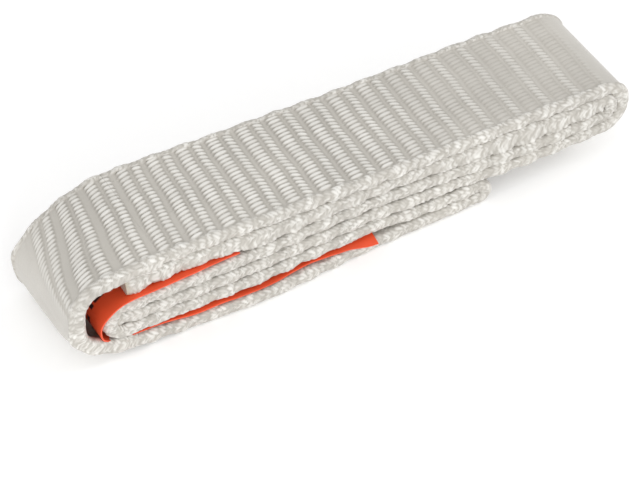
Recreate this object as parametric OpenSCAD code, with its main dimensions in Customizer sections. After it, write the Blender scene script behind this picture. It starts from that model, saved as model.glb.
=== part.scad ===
// Endless webbing sling, pressed flat and folded once for storage.
// One strip of webbing makes the whole loop. Its two ends lap each other over half of the loop.
// The lap is sewn. X runs along the bundle, Y across the webbing, and Z up.
// The origin is on the underside, at mid length and mid width.

/* [Webbing] */
// Width of the webbing
webbing_w = 50; // [40:1:60]
// Thickness of one layer of webbing
webbing_t = 5.8; // [4.8:0.1:7]
// Gap between two layers that are sewn or pressed together
ply_gap = 0.15; // [0.1:0.05:0.4]
// Gap between the two halves of the bundle, which move apart when the fold opens
fold_gap = 0.4; // [0.3:0.1:1]

/* [Bundle] */
// Length of the folded bundle
bundle_l = 255; // [210:1:310]
// Distance from the left fold to the tip of the tail
tail_l = 189; // [165:1:200]
// Height of the slack pocket under the label, on top of the tail
label_room = 4.4; // [3.6:0.1:6]
// Height of the slack space that the upper label strip lies in
upper_room = 6.2; // [5:0.1:7]
// Height of the eye inside the right fold
eye_h = 2.6; // [1.6:0.1:4]
// How far the right fold's underside hangs below the top of the tail
right_drop = 1.7; // [1:0.1:2.2]

/* [Cut ends] */
// Distance from the left fold to the cut end under the top layer
upper_cut_x = 25; // [23:0.5:32]
// Distance from the left fold to the cut end inside the inner bend
lower_cut_x = 23.4; // [23:0.5:32]

/* [Label] */
// Thickness of the label
label_t = 0.6; // [0.4:0.1:0.9]
// Width of the label
label_w = 48; // [30:1:50]
// How far the label stands out past the near edge of the webbing
label_out = 2.5; // [0:0.5:8]
// Distance from the left fold to the label's sewn end
label_sewn_x = 73; // [62:1:90]
// Distance from the left fold to the label's loose end
label_loose_x = 134; // [100:1:145]

/* [Sewing] */
// Thickness of the seam thread
thread_t = 0.8; // [0.6:0.1:1]
// How far a stitch stands proud of the webbing
stitch_proud = 0.1; // [0.05:0.05:0.2]
// Length of one stitch along the seam
stitch_l = 10; // [8:0.5:14]
// Number of rows of stitching across the webbing
seam_rows = 4; // [2:1:5]
// Distance from the selvedge to the first row
seam_inset = 6; // [4:0.5:8]

/* [Hidden] */
// Steps along a straight run and round a bend.
run_steps = 14;
bend_steps = 14;

// Spare gaps between layers: in the tail, along the lap, under the top layer, and round the label's turn.
tail_gap = 0.1;
lap_slack = 0.5;
press_slack = 0.5;
label_turn_gap = 2;

// Heights of the layers' middles at the tail, the right fold and the left bends.
tail_z = webbing_t / 2;
tail_top_z = tail_z + webbing_t + tail_gap;
lower_inner_z = tail_z + webbing_t + label_room;
outer_lap_z = lower_inner_z + webbing_t + fold_gap;
right_lift = 2 * webbing_t + tail_gap - right_drop;
right_low_z = right_lift + webbing_t / 2;
right_inner_low_z = right_low_z + webbing_t + ply_gap;
right_inner_top_z = right_inner_low_z + webbing_t + eye_h;
right_top_z = right_inner_top_z + webbing_t + ply_gap;

// Places along the bundle, measured from the outside of the left fold.
right_r = (right_top_z - right_low_z) / 2;
right_x = bundle_l - right_r - webbing_t / 2;
tail_r = (tail_top_z - tail_z) / 2;
tail_x = tail_l - tail_r - webbing_t / 2;
inner_bend_x = 23.5;
outer_low_x = 28;
outer_top_x = 40;
// The left fold is widest at nose_share of the right fold's height, and one layer up from there.
nose_share = 0.46;
nose_x = webbing_t / 2;
nose_z = nose_share * right_top_z + webbing_t;
// The top layer is raised over the label: it falls from just before its bend's end, over crown_run.
crown_lead = 5;
crown_run = 60;
crown_x = outer_top_x - crown_lead;
crown_end_x = crown_x + crown_run;
// The layers above the tail come to rest this far past its tip.
drop_run = 25;
drop_end_x = tail_l + drop_run;
// The cut end under the top layer hangs this much lower for each millimetre past the bend's start.
cut_dip = 0.06;

// Unit steps and curves.
function eased(u) = let (v = min(max(u, 0), 1)) v * v * (3 - 2 * v);
function between(x, x0, x1) = eased((x - x0) / (x1 - x0));
function steps(x0, x1, n) = [for (i = [0:n]) x0 + (x1 - x0) * i / n];
function inner_steps(x0, x1, n) = [for (i = [1:n - 1]) x0 + (x1 - x0) * i / n];

// Heights of each layer's middle at a place along the bundle. The layers fall past the label's loose end.
function lower_inner(x) =
    lower_inner_z - (lower_inner_z - tail_top_z) * between(x, label_loose_x, tail_x);
function fallen(x) = between(x, label_loose_x, drop_end_x);
function outer_lap_low(x) = outer_lap_z - (outer_lap_z - right_low_z) * fallen(x);
function inner_lap_low(x) = outer_lap_low(x) + webbing_t + ply_gap + lap_slack * (1 - fallen(x));
top_rise = inner_lap_low(label_loose_x) + 2 * (webbing_t + ply_gap) + press_slack - right_top_z;
function top_line(x) = right_top_z + top_rise * (right_x - x) / (right_x - label_loose_x);
crown_h = inner_lap_low(outer_top_x) + 2 * webbing_t + ply_gap + upper_room - top_line(outer_top_x);
function top_layer(x) = top_line(x) + crown_h * (1 - between(x, crown_x, crown_end_x));

// The nose is two quarters of an ellipse, one above the widest point of the fold and one below it.
function nose_top(a) = [
    outer_top_x - (outer_top_x - nose_x) * sin(a),
    nose_z + (top_layer(outer_top_x) - nose_z) * cos(a)
];
function nose_low(a) = [
    outer_low_x - (outer_low_x - nose_x) * cos(a),
    nose_z - (nose_z - tail_z) * sin(a)
];
// The top layer's middle carried on over the start of the nose, for the layer that lies under it.
function top_over(x) = x >= outer_top_x
    ? top_layer(x)
    : nose_z + (top_layer(outer_top_x) - nose_z)
        * sqrt(1 - pow((outer_top_x - x) / (outer_top_x - nose_x), 2));
function inner_lap_top(x) =
    top_over(x) - webbing_t - ply_gap - cut_dip * max(outer_top_x - x, 0);

// A half turn from one height to another about a centre at x, bulging to the side given by 1 or -1.
function turn(x, z0, z1, reach, side) =
    [for (a = steps(90, -90, bend_steps))
        [x + side * reach * cos(a), (z0 + z1) / 2 + (z0 - z1) / 2 * sin(a)]];

// The stretches of the strip in order, from the cut end under the top layer round to the other cut end.
inner_r = (inner_lap_low(inner_bend_x) - lower_inner_z) / 2;
eye_r = (right_inner_top_z - right_inner_low_z) / 2;
inner_lap_upper_pts = [for (x = steps(upper_cut_x, right_x, run_steps)) [x, inner_lap_top(x)]];
inner_right_pts = turn(right_x, right_inner_top_z, right_inner_low_z, eye_r, 1);
inner_lap_lower_pts = [for (x = steps(right_x, inner_bend_x, run_steps)) [x, inner_lap_low(x)]];
inner_left_pts = turn(inner_bend_x, inner_lap_low(inner_bend_x), lower_inner_z, inner_r, -1);
lower_inner_pts = [for (x = steps(inner_bend_x, tail_x, run_steps)) [x, lower_inner(x)]];
tail_pts = turn(tail_x, tail_top_z, tail_z, tail_r, 1);
lower_outer_pts = [for (x = steps(tail_x, outer_low_x, run_steps)) [x, tail_z]];
outer_left_pts = concat(
    [for (a = steps(90, 0, bend_steps / 2)) nose_low(a)],
    [for (a = inner_steps(90, 0, bend_steps / 2)) nose_top(a)],
    [nose_top(0)]
);
upper_outer_pts = [for (x = steps(outer_top_x, right_x, run_steps)) [x, top_layer(x)]];
outer_right_pts = turn(right_x, right_top_z, right_low_z, right_r, 1);
outer_lap_lower_pts = [for (x = steps(right_x, lower_cut_x, run_steps)) [x, outer_lap_low(x)]];

stretches = [
    inner_lap_upper_pts, inner_right_pts, inner_lap_lower_pts, inner_left_pts, lower_inner_pts, tail_pts,
    lower_outer_pts, outer_left_pts, upper_outer_pts, outer_right_pts, outer_lap_lower_pts
];
function joined(list, i = 0) = i == len(list) - 1
    ? list[i]
    : concat([for (k = [0:len(list[i]) - 2]) list[i][k]], joined(list, i + 1));
function start_of(list, k) = k == 0 ? 0 : start_of(list, k - 1) + len(list[k - 1]) - 1;
strip = joined(stretches);

// The label's stretches, from its sewn end round the inner bend to its loose end.
label_low_z = webbing_t + label_room / 2;
label_top_z = inner_lap_low(inner_bend_x) + webbing_t / 2 + upper_room / 3;
label_reach = inner_r + webbing_t / 2 + label_turn_gap;
label_stretches = [
    [for (x = steps(label_sewn_x, inner_bend_x, 6)) [x, label_top_z]],
    turn(inner_bend_x, label_top_z, label_low_z, label_reach, -1),
    [for (x = steps(inner_bend_x, label_loose_x, 6)) [x, label_low_z]]
];
label_strip = joined(label_stretches);

// A strip's outline: its middle line moved half a thickness to either side, square to its own direction.
function unit(v) = v / norm(v);
function heading(line, i) = unit(line[min(i + 1, len(line) - 1)] - line[max(i - 1, 0)]);
function side_point(line, i, d) = line[i] + d * [-heading(line, i)[1], heading(line, i)[0]];
function outline(line, from, to, t) = concat(
    [for (i = [from:to]) side_point(line, i, t / 2)],
    [for (i = [to:-1:from]) side_point(line, i, -t / 2)]
);

// Stands a side view up, centred on the bundle's length and spread over a width that starts at y.
module across(y, w) {
    translate([-bundle_l / 2, y + w, 0])
        rotate([90, 0, 0])
            linear_extrude(height = w)
                children();
}

module webbing(k) {
    from = start_of(stretches, k);
    color("ivory")
        across(-webbing_w / 2, webbing_w)
            polygon(outline(strip, from, from + len(stretches[k]) - 1, webbing_t));
}

module label_piece(k) {
    from = start_of(label_stretches, k);
    color("orangered")
        across(-webbing_w / 2 - label_out, label_w)
            polygon(outline(label_strip, from, from + len(label_stretches[k]) - 1, label_t));
}

// A lockstitch seen from the side: 0 and 1 say which face of the lap the thread is on.
function wave(x0, x1) =
    let (count = floor((x1 - x0) / stitch_l / 2) * 2, pitch = (x1 - x0) / count)
    [for (i = [0:count], half = [0, 1]) [x0 + i * pitch, (i + half) % 2]];
function row_y(i) = -webbing_w / 2 + seam_inset + i * (webbing_w - 2 * seam_inset) / (seam_rows - 1);

// The seam keeps this far from the bends at its two ends, and its thread is sunk a little into each face.
seam_end = 2;
seam_start = 8;
thread_reach = webbing_t / 2 + stitch_proud - thread_t / 3;

// The label is tacked by two rows of stitches, set in from its sewn end and from its side.
tack_rows = [3, 7];
tack_count = 6;
tack_y = 4 - label_w / 2;
tack_pitch = 7.5;
tack_sink = 1;

module inner_lap_upper_run() { webbing(0); }
module inner_right_bend() { webbing(1); }
module inner_lap_lower_run() { webbing(2); }
module inner_left_bend() { webbing(3); }
module lower_inner_run() { webbing(4); }
module tail_bend() { webbing(5); }
module lower_outer_run() { webbing(6); }
module outer_left_bend() { webbing(7); }
module upper_outer_run() { webbing(8); }
module outer_right_bend() { webbing(9); }
module outer_lap_lower_run() { webbing(10); }
module label_upper() { label_piece(0); }
module label_turn() { label_piece(1); }
module label_lower() { label_piece(2); }

module seam_thread_upper() {
    top = [for (p = wave(outer_top_x + seam_end, right_x - seam_end))
        [p[0], p[1] == 1 ? top_layer(p[0]) + thread_reach : inner_lap_top(p[0]) - thread_reach]];
    color("white")
        for (i = [0:seam_rows - 1])
            across(row_y(i) - thread_t / 2, thread_t)
                polygon(outline(top, 0, len(top) - 1, thread_t));
}

module seam_thread_lower() {
    low = [for (p = wave(inner_bend_x + seam_start, right_x - seam_end))
        [p[0], p[1] == 1 ? inner_lap_low(p[0]) + thread_reach : outer_lap_low(p[0]) - thread_reach]];
    color("white")
        for (i = [0:seam_rows - 1])
            across(row_y(i) - thread_t / 2, thread_t)
                polygon(outline(low, 0, len(low) - 1, thread_t));
}

module label_tack() {
    color("white")
        for (row = tack_rows, i = [0:tack_count - 1])
            let (x = label_sewn_x - row)
                translate([x - bundle_l / 2, tack_y + i * tack_pitch, label_top_z - tack_sink])
                    cylinder(h = inner_lap_top(x) - label_top_z + 2 * tack_sink, d = thread_t, $fn = 16);
}

inner_lap_upper_run();
inner_right_bend();
inner_lap_lower_run();
inner_left_bend();
lower_inner_run();
tail_bend();
lower_outer_run();
outer_left_bend();
upper_outer_run();
outer_right_bend();
outer_lap_lower_run();
label_upper();
label_turn();
label_lower();
seam_thread_upper();
seam_thread_lower();
label_tack();
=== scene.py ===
"""Webbing sling folded for storage: the visual model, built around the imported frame."""

import logging
import math
from dataclasses import dataclass, field
from enum import Enum

import bpy
import numpy as np
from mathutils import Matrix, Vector


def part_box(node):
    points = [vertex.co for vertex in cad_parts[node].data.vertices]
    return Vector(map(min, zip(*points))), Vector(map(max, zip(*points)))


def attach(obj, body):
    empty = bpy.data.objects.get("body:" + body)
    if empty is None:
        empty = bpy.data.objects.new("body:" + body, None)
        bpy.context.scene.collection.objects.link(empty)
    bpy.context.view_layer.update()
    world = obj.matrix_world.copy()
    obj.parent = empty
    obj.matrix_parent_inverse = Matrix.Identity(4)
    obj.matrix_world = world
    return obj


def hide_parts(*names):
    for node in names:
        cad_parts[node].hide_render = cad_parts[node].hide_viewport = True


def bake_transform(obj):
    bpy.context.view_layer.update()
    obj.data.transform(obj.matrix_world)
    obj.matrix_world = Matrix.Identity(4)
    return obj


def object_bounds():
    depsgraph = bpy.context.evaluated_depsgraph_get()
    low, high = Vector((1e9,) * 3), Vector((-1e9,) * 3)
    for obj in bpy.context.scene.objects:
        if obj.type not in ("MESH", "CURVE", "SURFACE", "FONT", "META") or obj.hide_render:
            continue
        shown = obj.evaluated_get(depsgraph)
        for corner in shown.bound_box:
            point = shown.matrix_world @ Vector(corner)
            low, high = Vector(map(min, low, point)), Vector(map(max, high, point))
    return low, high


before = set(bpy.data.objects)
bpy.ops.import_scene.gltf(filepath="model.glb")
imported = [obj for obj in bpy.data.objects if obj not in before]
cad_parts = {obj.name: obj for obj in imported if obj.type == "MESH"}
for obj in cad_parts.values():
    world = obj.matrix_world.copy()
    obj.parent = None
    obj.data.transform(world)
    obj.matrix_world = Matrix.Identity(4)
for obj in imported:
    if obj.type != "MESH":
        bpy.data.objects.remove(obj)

Array = np.ndarray
Pair = tuple[float, float]
Triple = tuple[float, float, float]
Colour = tuple[float, float, float, float]
Values = tuple[float, ...]
Thing = bpy.types.Object
Material = bpy.types.Material
Tree = bpy.types.NodeTree
Socket = bpy.types.NodeSocket

log = logging.getLogger("sling")
CAD_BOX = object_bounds()
MM = 0.001
TURN_POINTS = 60
WELD = 1e-7
WOVEN_ANGLE = math.radians(65)
CLOTH_ANGLE = math.radians(50)
CLOUD_SPAN = (0.3, 0.7)


class Relief(Enum):
    """How much of a stretch of webbing shows its weave."""

    OUTER = "outer"
    HIDDEN = "hidden"


class Bow(Enum):
    """How a stretch leaves its even side view from the near edge to the far one."""

    NONE = "none"
    NOSE_TOP = "nose top"
    NOSE_LOW = "nose low"
    UNDER_TOP = "under top"
    SAG = "sag"
    FLOOR = "floor"


def eased(u: Array | float) -> Array | float:
    """Smooth step from 0 to 1."""
    v = np.clip(u, 0.0, 1.0)
    return v * v * (3 - 2 * v)


def past(x: Array | float, start: float, over: float) -> Array | float:
    """Smooth step from 0 at a start to 1 a distance further on."""
    return eased((x - start) / over)


def hill(x: Array, middle: float, reach: float) -> Array:
    """Rounded hill of height 1 about a middle."""
    return np.exp(-(((x - middle) / reach) ** 2))


def through(x: Array, places: Values, values: Values) -> Array:
    """Smooth curve through a few values, level at each of them."""
    k = np.clip(np.searchsorted(places, x) - 1, 0, len(places) - 2)
    at, to = np.array(places), np.array(values)
    share = eased((x - at[k]) / (at[k + 1] - at[k]))
    return to[k] + (to[k + 1] - to[k]) * share


def waver(a: Array, b: Array, seed: float) -> Array:
    """Slow, even wander between about -1 and 1 over a surface.

    Args:
        a: Coordinate along the strap, in turns of the slowest wave.
        b: Coordinate across it, in the same units.
        seed: Shifts the pattern, so two pieces don't match.

    Returns:
        The wander at each point.
    """
    return (
        np.sin(2 * np.pi * (a + 0.37 * b) + seed)
        + 0.6 * np.sin(2 * np.pi * (1.73 * a - 0.61 * b) + 2.1 * seed)
        + 0.4 * np.sin(2 * np.pi * (3.19 * a + 1.27 * b) + 3.7 * seed)
    ) / 2


def chance(i: Array, j: Array, seed: float) -> Array:
    """A fixed random-looking number from 0 to 1 for each pair of whole numbers."""
    value = np.sin(12.9898 * i + 78.233 * j + 37.719 * seed) * 43758.5453
    return value - np.floor(value)


@dataclass(frozen=True)
class Layout:
    """Side view of the bundle in millimetres, from the outside of the left fold and up from the floor.

    The sizes come from the frame's own boxes, and the curves are the ones the frame was drawn with.
    """

    width: float
    thick: float
    length: float
    tail_tip: float
    tail_top_z: float
    lower_inner_z: float
    outer_lap_z: float
    right_low_z: float
    right_top_z: float
    label_loose: float
    label_sewn: float
    label_width: float
    upper_cut: float
    lower_cut: float
    ply_gap: float = 0.15
    lap_slack: float = 0.5
    press_slack: float = 0.5
    upper_room: float = 6.2
    cut_dip: float = 0.06
    inner_bend_x: float = 23.5
    outer_low_x: float = 28.0
    outer_top_x: float = 40.0
    nose_share: float = 0.46
    crown_lead: float = 5.0
    crown_run: float = 60.0
    drop_run: float = 25.0

    @classmethod
    def from_frame(cls) -> "Layout":
        """Read the driving sizes from the frame's nodes."""
        lo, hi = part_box("lower_outer_run")
        left = CAD_BOX[0][0]
        thick = (hi[2] - lo[2]) / MM

        def x_of(value: float) -> float:
            return (value - left) / MM

        def middle(name: str, end: int, inwards: int) -> float:
            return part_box(name)[end][2] / MM + inwards * thick / 2

        label_low, label_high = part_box("label_lower")
        return cls(
            width=(hi[1] - lo[1]) / MM,
            thick=thick,
            length=x_of(CAD_BOX[1][0]),
            tail_tip=x_of(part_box("tail_bend")[1][0]),
            tail_top_z=middle("tail_bend", 1, -1),
            lower_inner_z=middle("lower_inner_run", 1, -1),
            outer_lap_z=middle("outer_lap_lower_run", 1, -1),
            right_low_z=middle("outer_right_bend", 0, 1),
            right_top_z=middle("outer_right_bend", 1, -1),
            label_loose=x_of(label_high[0]),
            label_sewn=x_of(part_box("label_upper")[1][0]),
            label_width=(label_high[1] - label_low[1]) / MM,
            upper_cut=x_of(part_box("inner_lap_upper_run")[0][0]),
            lower_cut=x_of(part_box("outer_lap_lower_run")[0][0]),
        )

    @property
    def low_z(self) -> float:
        """Height of the bottom layer's middle."""
        return self.thick / 2

    @property
    def right_x(self) -> float:
        """Where the right bends start."""
        return self.length - (self.right_top_z - self.right_low_z) / 2 - self.thick / 2

    @property
    def tail_x(self) -> float:
        """Where the tail's bend starts."""
        return self.tail_tip - (self.tail_top_z - self.low_z) / 2 - self.thick / 2

    @property
    def nose_z(self) -> float:
        """Height of the left fold's widest point."""
        return self.nose_share * self.right_top_z + self.thick

    @property
    def ply(self) -> float:
        """Distance between the middles of two pressed layers."""
        return self.thick + self.ply_gap

    @property
    def inner_top_z(self) -> float:
        """Height of the inner left turn's upper end."""
        return float(self.inner_lap_low(np.array(self.inner_bend_x)))

    def lower_inner(self, x: Array) -> Array:
        """Height of the tail's upper layer."""
        fall = eased((x - self.label_loose) / (self.tail_x - self.label_loose))
        return self.lower_inner_z - (self.lower_inner_z - self.tail_top_z) * fall

    def fallen(self, x: Array) -> Array:
        """How far the layers above the tail have come down past it, from 0 to 1."""
        end = self.tail_tip + self.drop_run
        return eased((x - self.label_loose) / (end - self.label_loose))

    def outer_lap_low(self, x: Array) -> Array:
        """Height of the lap's outer layer under the inner one."""
        return self.outer_lap_z - (self.outer_lap_z - self.right_low_z) * self.fallen(x)

    def inner_lap_low(self, x: Array) -> Array:
        """Height of the lap's inner layer on the way back from the right fold."""
        return self.outer_lap_low(x) + self.ply + self.lap_slack * (1 - self.fallen(x))

    def top_line(self, x: Array) -> Array:
        """Straight fall of the top layer towards the right fold."""
        rise = self.inner_lap_low(self.label_loose) + 2 * self.ply + self.press_slack - self.right_top_z
        return self.right_top_z + rise * (self.right_x - x) / (self.right_x - self.label_loose)

    def top_layer(self, x: Array) -> Array:
        """Height of the top layer, raised over the label."""
        at = self.outer_top_x
        crown = self.inner_lap_low(at) + self.thick + self.ply + self.upper_room - self.top_line(at)
        past = eased((x - at + self.crown_lead) / self.crown_run)
        return self.top_line(x) + crown * (1 - past)

    def nose_size(self, top: bool) -> Triple:
        """Middle, reach and height of one half of the left fold; the lower half's height is negative."""
        x = self.outer_top_x if top else self.outer_low_x
        end = self.top_layer(x) if top else self.low_z
        return x, x - self.thick / 2, end - self.nose_z

    def nose(self, top: bool, a: Array) -> Array:
        """One quarter of the left fold; a is 0 at the nose and a right angle at its flat end."""
        x, reach, high = self.nose_size(top)
        return np.stack([x - reach * np.cos(a), self.nose_z + high * np.sin(a)], 1)

    def under_top(self, x: Array) -> Array:
        """Height of the layer under the top one, which follows the start of the nose."""
        middle, reach, high = self.nose_size(True)
        short = np.clip(middle - x, 0, None)
        over = self.nose_z + high * np.sqrt(1 - (short / reach) ** 2)
        return np.where(short > 0, over, self.top_layer(x)) - self.ply - self.cut_dip * short

    def gap_under_lap(self, x: Array) -> Array:
        """Open height between the lap's upper run and the layer below it."""
        return np.clip(self.under_top(x) - self.inner_lap_low(x) - self.thick, 0, None)

    def row(self, x: float, z: float, y: float = 0.0) -> Triple:
        """A side-view point in the frame's own metres."""
        return (CAD_BOX[0][0] + x * MM, y * MM, z * MM)


@dataclass(frozen=True)
class Hand:
    """How the bundle was pressed by hand: square at the near edge, slanting at the far one."""

    layout: Layout
    near_top: float = 4.6
    far_top: float = 1.55
    low_places: Values = (0.0, 0.3, 1.0)
    low_powers: Values = (1.65, 2.9, 3.1)
    curl: float = 2.0
    curl_at: float = 27.0
    curl_reach: float = 15.0
    floor_sway: float = 2.6
    floor_sway_at: float = 88.0
    floor_sway_reach: float = 30.0
    wander: float = 0.45
    wander_waves: Pair = (170.0, 400.0)
    wander_seed: float = 0.7
    sag_share: float = 0.45
    curl_share: float = 0.6
    drop_places: Values = (20.0, 60.0, 85.0, 105.0, 124.0, 134.0, 147.0, 183.0)
    drops: Values = (0.0, 1.1, 1.9, 1.1, 1.4, 1.2, 2.3, 0.0)
    drop_fade: float = 23.0

    def sag(self, x: Array, z: Array) -> Array:
        """How far the near edge of the layers above the label hangs down, less towards the top."""
        share = np.clip(1 - (z - self.layout.lower_inner_z) / self.drop_fade, 0, 1)
        at = np.clip(x, self.drop_places[0], self.drop_places[-1])
        return through(at, self.drop_places, self.drops) * share

    def power(self, v: Array, top: bool) -> Array:
        """How square the left fold is across the webbing, where 2 is an ellipse."""
        share = np.clip(v / self.layout.width + 0.5, 0, 1)
        if not top:
            return through(share, self.low_places, self.low_powers)
        return self.near_top * (self.far_top / self.near_top) ** share

    def shape(self, points: Array, v: Array, bow: Bow) -> Array:
        """Move a middle line to where it lies at each place across the webbing.

        Args:
            points: Middle line in the side view, one row for each step along.
            v: Places across the webbing.
            bow: How this stretch leaves its even side view.

        Returns:
            A point for each step along and each place across.
        """
        lay = self.layout
        out = np.repeat(points[:, None, :], len(v), axis=1)
        if bow in (Bow.NOSE_TOP, Bow.NOSE_LOW):
            top = bow is Bow.NOSE_TOP
            x, reach, high = lay.nose_size(top)
            a = np.arctan2((out[..., 1] - lay.nose_z) / high, (x - out[..., 0]) / reach)
            a = np.clip(a, 0, np.pi / 2)
            n = self.power(v, top)[None, :]
            grow = (np.cos(a) ** n + np.sin(a) ** n) ** (-1 / n)
            inside = (out[..., 0] <= x) & ((out[..., 1] - lay.nose_z) * np.sign(high) >= 0)
            grow = np.where(inside, grow, 1.0)
            out[..., 0] = x + (out[..., 0] - x) * grow
            out[..., 1] = lay.nose_z + (out[..., 1] - lay.nose_z) * grow
        if bow is Bow.UNDER_TOP:
            x, reach, high = lay.nose_size(True)
            short = np.clip((x - out[..., 0]) / reach, 0, 1)
            n = self.power(v, True)[None, :]
            out[..., 1] += high * ((1 - short**n) ** (1 / n) - np.sqrt(1 - short**2))
        if bow is Bow.SAG:
            near = eased(self.sag_share - v / lay.width)[None, :]
            out[..., 1] -= self.sag(out[..., 0], out[..., 1]) * near
        if bow in (Bow.FLOOR, Bow.NOSE_LOW):
            near = eased(self.curl_share - v / lay.width)[None, :]
            low = eased((lay.nose_z - out[..., 1]) / (lay.nose_z - lay.low_z))
            out[..., 1] += self.curl * hill(out[..., 0], self.curl_at, self.curl_reach) * near * low
        return out

    def sway(self, points: Array, s: Array, bow: Bow) -> Array:
        """How far each step along the strip lies from the bundle's middle plane."""
        slow, slower = self.wander_waves
        side = self.wander * waver(s / slow, s / slower, self.wander_seed)
        if bow is Bow.FLOOR:
            side = side - self.floor_sway * hill(points[:, 0], self.floor_sway_at, self.floor_sway_reach)
        return side


@dataclass(frozen=True)
class Stretch:
    """One stretch of the strap: its middle line, and what it stands for and rides on."""

    name: str
    node: str
    points: Array
    bodies: tuple[str, ...]
    relief: Relief
    bow: Bow = Bow.NONE
    cut: int = 0


def arc_of(points: Array) -> Array:
    """Distance along a line at each of its points."""
    return np.concatenate([[0.0], np.cumsum(np.linalg.norm(np.diff(points, axis=0), axis=1))])


def square_to(line: Array) -> Array:
    """Unit vector square to a side-view line at each of its points."""
    way = np.gradient(line, axis=0)
    way /= np.linalg.norm(way, axis=1)[:, None]
    return np.stack([-way[:, 1], way[:, 0]], 1)


def half_turn(x: float, z0: float, z1: float, reach: float, side: int, part: Pair) -> Array:
    """Part of a half turn from height z0 to z1 about a centre at x.

    Args:
        x: Centre of the turn.
        z0: Height where the turn starts.
        z1: Height where it ends.
        reach: How far it bulges.
        side: 1 to bulge to the right, -1 to the left.
        part: Start and end, as shares of the turn.

    Returns:
        The turn's points.
    """
    a = np.pi / 2 - np.pi * np.linspace(part[0], part[1], TURN_POINTS)
    return np.stack([x + side * reach * np.cos(a), (z0 + z1) / 2 + (z0 - z1) / 2 * np.sin(a)], 1)


class Strap:
    """The route of the one strip of webbing, cut into its stretches, with arc length along it."""

    fine = 500
    nose_points = 90
    ahead = 0.2
    plug = 3.3
    fewest = 8

    def __init__(self, layout: Layout) -> None:
        """Lay the strip out from the cut end under the top layer to the other cut end."""
        self.layout = layout
        self.stretches = self._lay_out()
        lengths = [arc_of(s.points)[-1] for s in self.stretches]
        self.starts = list(np.concatenate([[0.0], np.cumsum(lengths)]))
        whole = [self.stretches[0].points] + [s.points[1:] for s in self.stretches[1:]]
        self.line = np.concatenate(whole)
        self.arc = arc_of(self.line)
        names = [s.name for s in self.stretches]
        self.nose_start = self.starts[names.index("outer_left_turn_lower")]
        self.nose_to_right = self.starts[names.index("outer_right_turn")] - self.nose_start

    def _run(self, x0: float, x1: float, height) -> Array:
        """A run between two places at a height that is a function of place."""
        x = np.linspace(x0, x1, self.fine)
        return np.stack([x, np.broadcast_to(height(x), x.shape)], 1)

    def _lay_out(self) -> list[Stretch]:
        """Every stretch in order along the strip."""
        lay, low, link, up = self.layout, "lower_fold", "fold_link", "upper_fold"
        eye, eye_low = lay.right_top_z - lay.ply, lay.right_low_z + lay.ply
        inner = (lay.inner_top_z, lay.lower_inner_z)
        reach = (inner[0] - inner[1]) / 2
        tail = (lay.tail_top_z, lay.low_z, (lay.tail_top_z - lay.low_z) / 2)
        right = (lay.right_top_z, lay.right_low_z, (lay.right_top_z - lay.right_low_z) / 2)
        quarter = np.linspace(0, np.pi / 2, self.nose_points)
        hidden, outer = Relief.HIDDEN, Relief.OUTER
        return [
            Stretch("inner_lap_upper", "inner_lap_upper_run",
                    self._run(lay.upper_cut, lay.right_x, lay.under_top), (up,), hidden, Bow.UNDER_TOP, -1),
            Stretch("inner_right_turn", "inner_right_bend",
                    half_turn(lay.right_x, eye, eye_low, (eye - eye_low) / 2, 1, (0, 1)), (up,), hidden),
            Stretch("inner_lap_lower", "inner_lap_lower_run",
                    self._run(lay.right_x, lay.inner_bend_x, lay.inner_lap_low), (up,), hidden, Bow.SAG),
            Stretch("inner_left_turn_upper", "inner_left_bend",
                    half_turn(lay.inner_bend_x, *inner, reach, -1, (0, 0.5)), (up, link), outer),
            Stretch("inner_left_turn_lower", "inner_left_bend",
                    half_turn(lay.inner_bend_x, *inner, reach, -1, (0.5, 1)), (link, low), outer),
            Stretch("tail_upper", "lower_inner_run",
                    self._run(lay.inner_bend_x, lay.tail_x, lay.lower_inner), (low,), outer, Bow.SAG),
            Stretch("tail_turn", "tail_bend", half_turn(lay.tail_x, *tail, 1, (0, 1)), (low,), outer),
            Stretch("tail_lower", "lower_outer_run",
                    self._run(lay.tail_x, lay.outer_low_x, lambda x: lay.low_z), (low,), outer, Bow.FLOOR),
            Stretch("outer_left_turn_lower", "outer_left_bend",
                    lay.nose(False, quarter[::-1]), (low, link), outer, Bow.NOSE_LOW),
            Stretch("outer_left_turn_upper", "outer_left_bend",
                    lay.nose(True, quarter), (link, up), outer, Bow.NOSE_TOP),
            Stretch("top_layer", "upper_outer_run",
                    self._run(lay.outer_top_x, lay.right_x, lay.top_layer), (up,), outer),
            Stretch("outer_right_turn", "outer_right_bend",
                    half_turn(lay.right_x, *right, 1, (0, 1)), (up,), outer),
            Stretch("outer_lap_lower", "outer_lap_lower_run",
                    self._run(lay.right_x, lay.lower_cut, lay.outer_lap_low), (up,), outer, Bow.SAG, 1),
        ]

    def at(self, s: Array) -> Array:
        """Points of the whole strip's middle line at given lengths along it, carried on past its ends."""
        out = np.stack([np.interp(s, self.arc, self.line[:, i]) for i in (0, 1)], 1)
        over = np.clip(s - self.arc[-1], 0, None)[:, None]
        short = np.clip(self.arc[0] - s, 0, None)[:, None]
        last, first = self.line[-1] - self.line[-2], self.line[0] - self.line[1]
        return out + over * last / np.linalg.norm(last) + short * first / np.linalg.norm(first)

    def steps(self, k: int, step: float) -> Array:
        """Even lengths along the strip over one stretch, run on a little past the last cut end."""
        end = self.starts[k + 1] + (self.plug if self.stretches[k].cut == 1 else 0)
        n = max(self.fewest, int(round((end - self.starts[k]) / step)))
        return np.linspace(self.starts[k], end, n + 1)


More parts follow.
